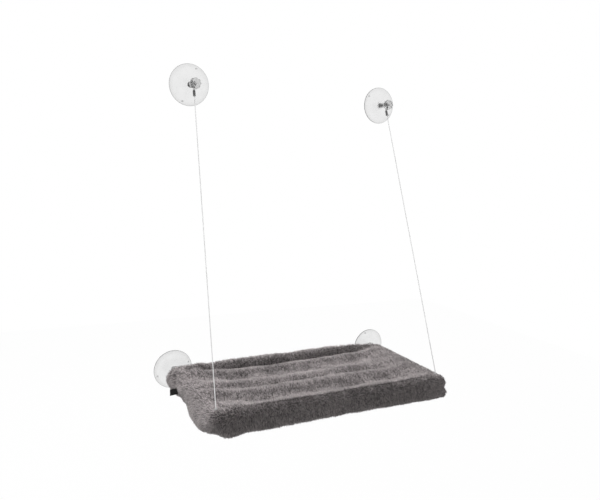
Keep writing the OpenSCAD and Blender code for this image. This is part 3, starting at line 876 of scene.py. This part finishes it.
def inflate(piece, cap):
    """Fills the cloth with air. No point moves further than cap."""
    rest = positions(piece.data)
    cloth = piece.modifiers.new("cloth", "CLOTH")
    for key, value in CLOTH.items():
        setattr(cloth.settings, key, value)
    cloth.settings.effector_weights.gravity = 0
    cloth.point_cache.frame_start = 1
    cloth.point_cache.frame_end = SIM_FRAMES
    scene = bpy.context.scene
    for tick in range(1, SIM_FRAMES + 1):
        scene.frame_set(tick)
    settle(piece)
    scene.frame_set(1)
    move = positions(piece.data) - rest
    length = np.linalg.norm(move, axis=1, keepdims=True)
    set_positions(piece.data, rest + move * np.minimum(1, cap / np.maximum(length, 1e-9)))


# the radius of a foam sleeve with the cloth over it
SLEEVE_R = 0.0151


def clear_of_frame(places):
    """Pushes points that lie in the foam sleeves or their cloth out to the cloth's outside."""
    middle = np.array([0, (RAIL_REAR + RAIL_FRONT) / 2, RAIL_Z])
    half = np.array([RAIL_X, (RAIL_REAR - RAIL_FRONT) / 2])
    flat = places[:, :2] - middle[:2]
    near = np.clip(flat, -half, half)
    inside = (np.abs(flat) < half).all(1)
    to_x = half[0] - np.abs(flat[:, 0]) < half[1] - np.abs(flat[:, 1])
    for axis, rows in ((0, inside & to_x), (1, inside & ~to_x)):
        near[rows, axis] = np.where(flat[rows, axis] < 0, -1, 1) * half[axis]
    nearest = np.column_stack([near + middle[:2], np.full(len(places), RAIL_Z)])
    away = places - nearest
    reach = np.linalg.norm(away, axis=1, keepdims=True)
    return nearest + away * np.maximum(1, SLEEVE_R / np.maximum(reach, 1e-6))


# dents as (depth, waves along x, y and z), and the wrinkles that fan out from the rear left corner
DENTS = ((0.0016, (22, 40, 40)), (0.0005, (70, 110, 60)))
WRINKLE = 0.0016
WRINKLES = 11
WRINKLE_SPIRAL = 60
FAN_INSET = 0.012
FAN_MIDDLE = 0.045
FAN_WIDTH = 0.04


def crease(piece):
    """Presses in the soft dents and wrinkles that the cloth has in use."""
    places = positions(piece.data)
    normals = positions(piece.data, "normal")
    for index, place in enumerate(places):
        x, y, z = place
        top = ease(z, UNDER_Z + 0.025, UNDER_Z + 0.034)
        dent = sum(depth * noise.noise(Vector(place * waves)) for depth, waves in DENTS)
        across, along = x + HALF_W - FAN_INSET, y - REAR_Y + FAN_INSET
        spread = math.hypot(across, along)
        fan = bell(spread, FAN_MIDDLE, FAN_WIDTH) * top
        turn = math.atan2(along, across)
        dent += WRINKLE * fan * math.cos(turn * WRINKLES + WRINKLE_SPIRAL * spread)
        places[index] += normals[index] * dent
    set_positions(piece.data, clear_of_frame(places))


FUR = 0.0063
TUFTS_PER_LOCK = 3
# how far the tufts of a lock stand apart, and their radius and depth at the root
LOCK_R = 0.0005
TUFT_R = 0.0005
ROOT_DEPTH = 0.0008
# the least and the greatest share of those sizes that locks and tufts have
LOCK_LENGTHS = (0.7, 1.2)
TUFT_LENGTHS = (0.8, 1.15)
TUFT_WIDTHS = (0.8, 1.3)
# how far the tips of a lock close in, as a share of how far its roots stand apart
TIPS_CLOSE = 0.6
TUFT_UV = [(0.12, 0.12), (0.88, 0.12), (0.5, 0.88)]
# how far from upright the locks lie, in radians
LEANS = (1.1, 1.38)
LEAN_SWAY = 0.04
COMB_OUT = 0.35
COMB_TO_WINDOW = 0.6
COMB_DOWN = 0.6
COMB_SWAY_OUT = 0.18
COMB_SWAY_BACK = 0.14
COMB_SPREAD = 0.22
SWAY_WAVES = (55, 70, 60)
# the ends' fur: where it starts from the bed's middle, and over how far
END_FUR_FROM = 0.17
END_FUR_OVER = 0.08
# how much the tones of locks and of tufts vary, and how much of that on the whole, the left end and
# the sides
TONE_SPREAD = 0.09
VARY_ALL = 0.8
VARY_LEFT = 1.2
VARY_SIDES = 2.4
# painted shade at the tufts' roots and painted light at their tips, added to their tones
ROOT_SHADE = -0.12
TIP_LIGHT = 0.06


def sway(places, shift):
    """A smooth field from -1 to 1 over the bed, made of crossed waves."""
    x, y, z = (places * SWAY_WAVES).T
    waves = [np.sin(x + 1.3 * y + shift), np.sin(1.7 * x - 0.8 * y + 2.1 * shift + z),
             np.sin(0.6 * x + 2.3 * y - shift), np.sin(3.1 * x + 0.9 * y + 1.7 * shift)]
    return sum(waves) / 3


def scattered(mesh, count, keep, draw):
    """Random places on a mesh and the way that each one faces. keep weighs the triangles."""
    mesh.calc_loop_triangles()
    corners = np.empty(len(mesh.loop_triangles) * 3, int)
    mesh.loop_triangles.foreach_get("vertices", corners)
    triangles = positions(mesh)[corners.reshape(-1, 3)]
    spans = np.cross(triangles[:, 1] - triangles[:, 0], triangles[:, 2] - triangles[:, 0])
    areas = np.linalg.norm(spans, axis=1)
    facing = spans / areas[:, None]
    weight = areas * keep(triangles.mean(1), facing)
    chosen = draw.choice(len(triangles), count, p=weight / weight.sum())
    shares = draw.dirichlet((1, 1, 1), count)
    return (triangles[chosen] * shares[:, :, None]).sum(1), facing[chosen]


def combed(roots, up, to_end, draw):
    """The way each lock lies on the cloth: to the window, down and, near the ends, outwards."""
    comb = np.column_stack([
        COMB_OUT * to_end + COMB_SWAY_OUT * sway(roots, 0.4),
        COMB_TO_WINDOW + COMB_SWAY_BACK * sway(roots, 2.6),
        np.full(len(roots), -COMB_DOWN)]) + draw.normal(0, COMB_SPREAD, (len(roots), 3))
    comb -= up * (comb * up).sum(1, keepdims=True)
    return comb / (np.linalg.norm(comb, axis=1, keepdims=True) + 1e-9)


def tuft_mesh(rings, tip, tones):
    """Three-sided tufts, from their roots' corners and their tips. Each has its own UV cell."""
    count = len(tip)
    mesh = bpy.data.meshes.new("pile")
    mesh.vertices.add(4 * count)
    mesh.vertices.foreach_set("co", np.stack([*rings, tip], axis=1).ravel())
    sides = np.array([0, 1, 3, 1, 2, 3, 2, 0, 3])
    mesh.loops.add(9 * count)
    mesh.loops.foreach_set("vertex_index", (sides[None, :] + 4 * np.arange(count)[:, None]).ravel())
    mesh.polygons.add(3 * count)
    mesh.polygons.foreach_set("loop_start", np.arange(3 * count) * 3)
    mesh.update(calc_edges=True)
    # tones: each corner's random tone, with painted shade at the roots and painted light at the tip
    mesh.attributes.new("tone", "FLOAT", "POINT").data.foreach_set("value", tones.ravel())
    rows = math.ceil(math.sqrt(count))
    cells = np.column_stack([np.arange(count) % rows, np.arange(count) // rows])
    slots = cells[:, None, :] + np.tile(TUFT_UV, (3, 1))[None]
    mesh.uv_layers.new(name="OFBake").uv.foreach_set("vector", (slots / rows).ravel())
    mesh.shade_smooth()
    return mesh


def pile(piece, locks, seed, keep):
    """Covers a shape with fur, in combed locks of tapered tufts. keep picks the faces."""
    draw = np.random.default_rng(seed)
    roots, up = scattered(piece.data, locks, keep, draw)
    share = np.clip((np.abs(roots[:, 0]) - END_FUR_FROM) / END_FUR_OVER, 0, 1)
    to_end = share * np.sign(roots[:, 0])
    comb = combed(roots, up, to_end, draw)
    lean = draw.uniform(*LEANS, (locks, 1)) + LEAN_SWAY * sway(roots, 5.2)[:, None]
    length = FUR * draw.uniform(*LOCK_LENGTHS, (locks, 1))
    reach = length * (up * np.cos(lean) + comb * np.sin(lean))
    vary = VARY_ALL + VARY_LEFT * np.maximum(-to_end[:, None], 0)
    vary = vary + VARY_SIDES * (1 - np.clip(up[:, 2:], 0, 1))
    tone = draw.normal(0, TONE_SPREAD, (locks, 1)) * vary
    across = np.cross(up, comb)
    roots, up, comb, across, reach, tone, vary = (
        np.repeat(rows, TUFTS_PER_LOCK, 0) for rows in (roots, up, comb, across, reach, tone, vary))
    count = len(roots)
    beside, along = draw.normal(0, LOCK_R, (2, count, 1))
    roots = roots + beside * across + along * comb
    tip = roots + reach * draw.uniform(*TUFT_LENGTHS, (count, 1)) - TIPS_CLOSE * beside * across
    thick = TUFT_R * draw.uniform(*TUFT_WIDTHS, (count, 1))
    rings = [roots - up * ROOT_DEPTH + thick * (math.cos(turn) * across + math.sin(turn) * comb)
             for turn in (0, 2 * math.pi / 3, 4 * math.pi / 3)]
    tones = tone + draw.normal(0, TONE_SPREAD, (count, 1)) * vary
    # each tuft's root corners get painted shade and its tip gets painted light
    return tuft_mesh(rings, tip, tones + np.array([ROOT_SHADE, ROOT_SHADE, ROOT_SHADE, TIP_LIGHT]))


COVER_CUTS = 70
VOXEL = 0.005
SWELL = 0.005

cover = piece_from(cover_mesh(COVER_CUTS), "plush_cover", "plush", "bed", "cover_top")
remesh(cover, VOXEL)
inflate(cover, SWELL)
finer = cover.modifiers.new("finer", "SUBSURF")
finer.levels = finer.render_levels = 1
settle(cover)
crease(cover)
cover.data.shade_smooth()

LOCKS = 20000
FIRST_SEED = 21
# the upwards part of the way that a face looks, where the top ends and where the underside starts
TOP_UP = 0.5
UNDER_UP = -0.8
# where the fur is parted into pieces along x, and which faces each row of pieces covers
FACES = {
    "top": (0.09, lambda way: way[:, 2] > TOP_UP),
    "edge": (0.16, lambda way: (way[:, 2] <= TOP_UP) * (way[:, 2] > UNDER_UP)),
}
PARTS = {
    "left": lambda x, parting: x <= -parting,
    "middle": lambda x, parting: np.abs(x) < parting,
    "right": lambda x, parting: x >= parting,
}
seed = FIRST_SEED
for level, (parting, covered) in FACES.items():
    for part, inside in PARTS.items():
        shape = pile(cover, LOCKS, seed, lambda at, way: covered(way) * inside(at[:, 0], parting))
        shape.materials.append(MATERIALS["pile"])
        tufts = bpy.data.objects.new(f"pile_{level}_{part}", shape)
        bpy.context.scene.collection.objects.link(tufts)
        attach(tufts, "bed")
        seed += 1


# trim on the bed

# radii and heights over the cover's skin, in millimetres
EYELET_SECTION = [
    (2.5, -3), (2.5, 0.4), (2.7, 0.7), (3.1, 0.8), (3.6, 0.6), (3.8, 0.3), (3.7, 0.1), (3.1, 0),
    (3, -0.6), (3, -3), (2.5, -3)]
EYELET_SUNK = 0.003
EYELET_LEAN = 0.2
TAG_CURL = 0.0018
TAG_RIPPLE = 0.0005
TAG_DROOP = 0.16
TAG_SHORTER = 0.0003
TAG_REAR = 0.0009
TAG_LAYERS_APART = 0.0006
PANEL_CORNER_IN = 0.05
PANEL_RIPPLE = 0.0004
PANEL_SAG = 0.0012
PANEL_LIFT = 0.0016


def eyelet(name, side):
    """Rolled eyelet that the cable goes in by, half sunk in the pile."""
    low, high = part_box(f"eyelet_{name}")
    bm = bmesh.new()
    turned(bm, EYELET_SECTION, 32)
    at = Vector(((low.x + high.x) / 2, (low.y + high.y) / 2, high.z - EYELET_SUNK))
    bm.transform(Matrix.Translation(at) @ Matrix.Rotation(side * EYELET_LEAN, 4, "Y"))
    piece_from(bm, f"eyelet_{name}_rolled", "eyelet_nickel", "bed", f"eyelet_{name}")


def tag():
    """Blank woven tag of two layers, standing upright, slightly curled and drooping a little."""
    low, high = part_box("label_tag")
    middle, size = (low + high) / 2, high - low
    bm = bmesh.new()
    bmesh.ops.create_grid(bm, x_segments=24, y_segments=16, size=1)
    for vert in bm.verts:
        along, across = (vert.co.x + 1) / 2, vert.co.y
        curl = TAG_CURL * along ** 2 + TAG_RIPPLE * math.sin(3 * across) * along
        vert.co = Vector((high.x - along * (size.x - TAG_SHORTER), middle.y - TAG_REAR + curl,
                          middle.z + across * size.z / 2 - TAG_DROOP * along * size.x))
    doubled = bmesh.ops.duplicate(bm, geom=bm.faces[:])["geom"]
    second = [part for part in doubled if isinstance(part, bmesh.types.BMVert)]
    bmesh.ops.translate(bm, verts=second, vec=(0, TAG_LAYERS_APART, 0))
    bmesh.ops.bridge_loops(bm, edges=[edge for edge in bm.edges if edge.is_boundary])
    bmesh.ops.recalc_face_normals(bm, faces=bm.faces)
    piece_from(bm, "tag_folded", "tag_cloth", "bed", "label_tag")


def bottom_cloth():
    """Woven panel under the bed, stretched between the seams and sagging a little between them."""
    low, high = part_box("cover_bottom")
    size = high - low
    bm = bmesh.new()
    bmesh.ops.create_grid(bm, x_segments=130, y_segments=60, size=1)
    for vert in bm.verts:
        along, across = vert.co.x, vert.co.y
        corner = max(0.0, abs(along) - 0.9) / 0.1 * max(0.0, abs(across) - 0.76) / 0.24
        shrink = 1 - PANEL_CORNER_IN * corner
        ripple = PANEL_RIPPLE * noise.noise(Vector((along * 9, across * 4, 3)))
        sag = PANEL_SAG * (1 - along ** 2) * (1 - across ** 2)
        vert.co = Vector((along * size.x / 2 * shrink, low.y + (across * shrink + 1) * size.y / 2,
                          low.z + PANEL_LIFT - sag + ripple))
    bmesh.ops.recalc_face_normals(bm, faces=bm.faces)
    cloth = piece_from(bm, "bottom_panel", "base_cloth", "bed", "cover_bottom")


for name, side in SIDES.items():
    eyelet(name, side)
tag()
bottom_cloth()

bpy.context.scene.view_settings.view_transform = "Standard"
